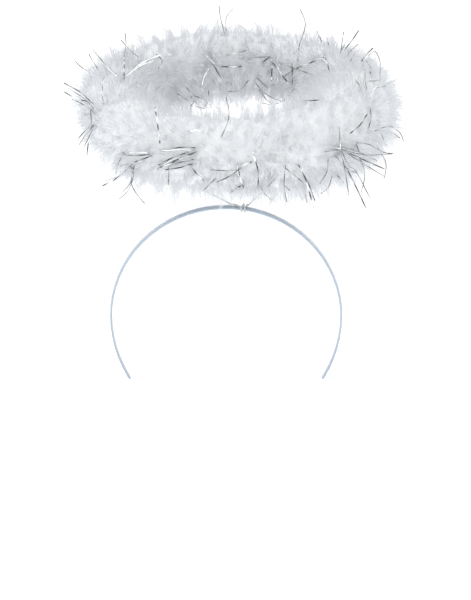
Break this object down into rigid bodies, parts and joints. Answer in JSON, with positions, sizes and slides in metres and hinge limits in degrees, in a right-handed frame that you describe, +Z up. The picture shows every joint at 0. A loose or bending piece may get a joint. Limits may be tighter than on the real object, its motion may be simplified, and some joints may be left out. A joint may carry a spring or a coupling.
{
  "type": "halo headband",
  "caption": "Costume halo: a feather boa on a wire ring, held over the head by a thin V-shaped wire bound round the top of a slim white plastic headband.",
  "frame": {"origin": "middle of the headband's inner face at the top of its arch, where it sits on the head", "axes": "+Z up as worn, -Y the way the wearer faces, +X to the right in the picture"},
  "size_m": [0.2344, 0.2189, 0.2686],
  "materials": {
    "white_plastic": "moulded, satin gloss",
    "coated_wire": "steel wire with a thin white coating",
    "steel_wire": "plain drawn wire",
    "down": "soft white marabou down",
    "tinsel": "flat strands of aluminised film"
  },
  "bodies": {
    "root": {"headband": "white_plastic", "support_wire": "coated_wire", "ring_wire": "steel_wire", "feather_boa": "down"}
  },
  "joints": []
}
